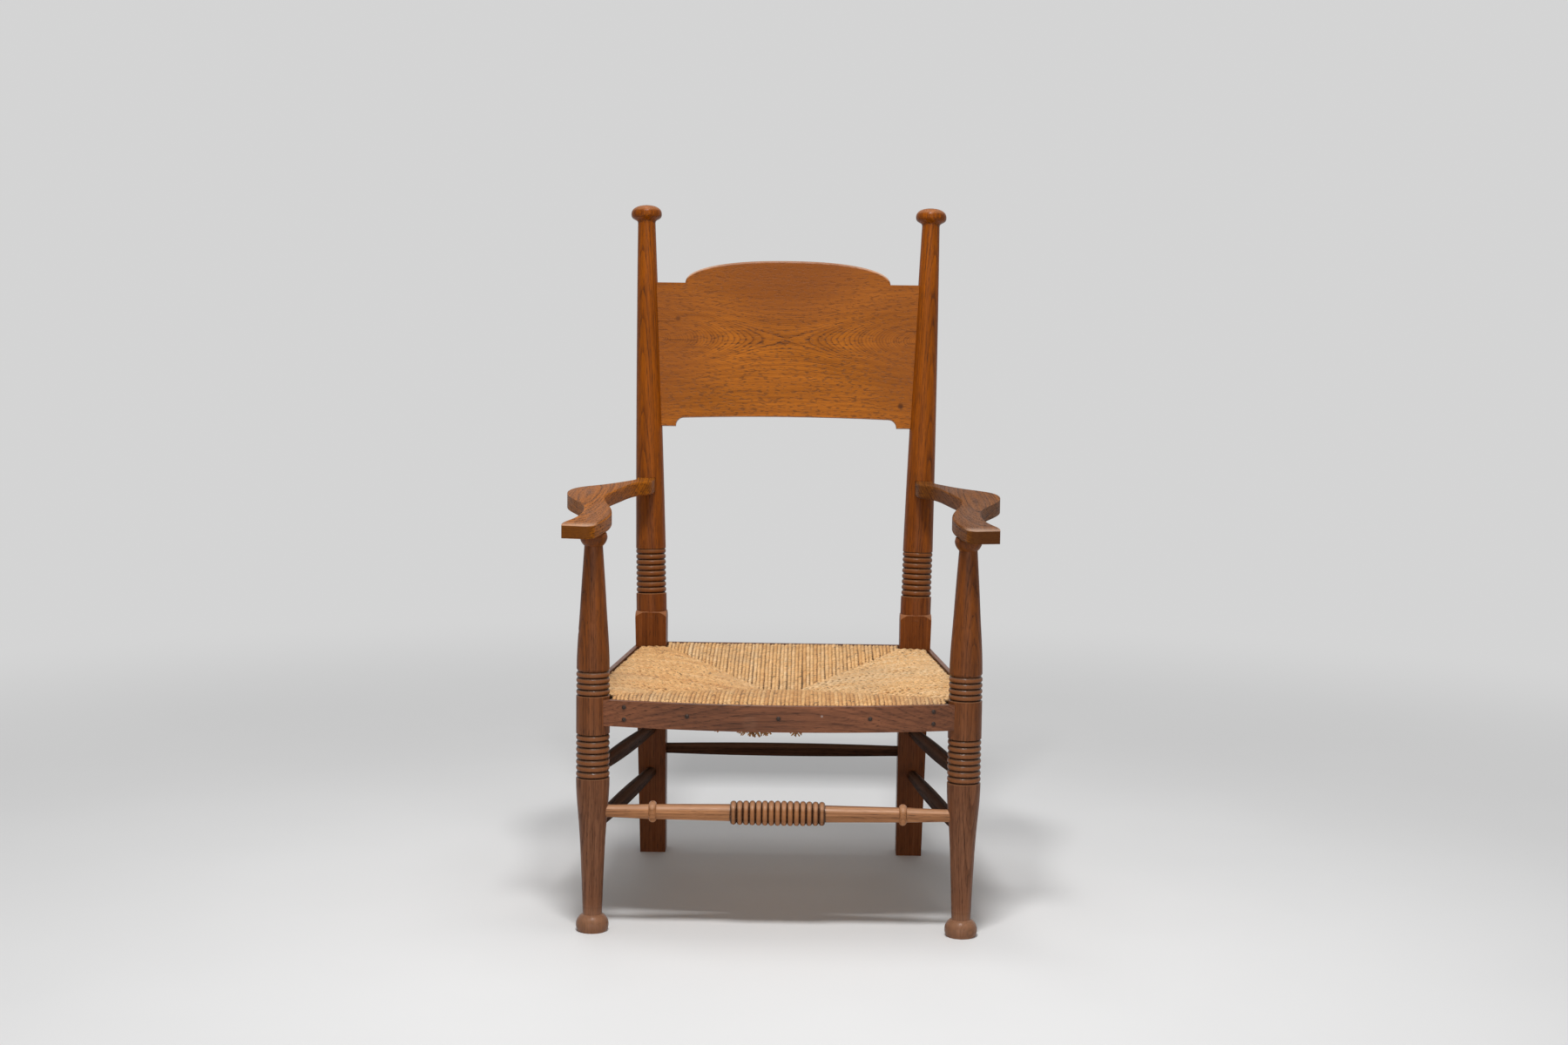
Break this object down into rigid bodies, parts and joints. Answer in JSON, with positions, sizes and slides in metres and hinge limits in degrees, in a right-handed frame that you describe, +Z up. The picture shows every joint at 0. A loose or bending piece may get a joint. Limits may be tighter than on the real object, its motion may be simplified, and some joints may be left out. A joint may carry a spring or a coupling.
{
  "type": "rush seat armchair",
  "caption": "Low armchair with ring-turned oak posts, shaped flat arms, an arched back board and a woven rush seat.",
  "frame": {"origin": "on the floor, under the middle of the chair's bounding box", "axes": "+Z up, -Y the way the sitter faces, +X the sitter's left"},
  "size_m": [0.663, 0.643, 1.0539],
  "materials": {
    "post_oak": "waxed satin",
    "panel_oak": "waxed satin",
    "arm_oak": "waxed satin",
    "board_oak": "waxed satin",
    "stretcher_oak": "waxed satin",
    "dark_oak": "waxed satin",
    "rail_wood": "sawn",
    "pin_steel": "darkened",
    "rush": "matt",
    "rush_pad": "matt"
  },
  "bodies": {
    "root": {"arm_left": "arm_oak", "arm_right": "arm_oak", "back_cover_board": "board_oak", "front_cover_board": "board_oak", "side_cover_board_left": "board_oak", "side_cover_board_right": "board_oak", "back_panel": "panel_oak", "back_post_left": "post_oak", "back_post_right": "post_oak", "front_post_left": "post_oak", "front_post_right": "post_oak", "back_seat_rail": "rail_wood", "front_seat_rail": "rail_wood", "side_seat_rail_left": "rail_wood", "side_seat_rail_right": "rail_wood", "front_stretcher": "stretcher_oak", "back_stretcher": "dark_oak", "lower_side_stretcher_left": "dark_oak", "lower_side_stretcher_right": "dark_oak", "upper_side_stretcher_left": "dark_oak", "upper_side_stretcher_right": "dark_oak", "front_cover_pins": "pin_steel", "side_cover_pins_left": "pin_steel", "side_cover_pins_right": "pin_steel", "back_cover_pins": "pin_steel", "rush_seat": "rush", "rush_stuffing": "rush_pad"}
  },
  "joints": []
}
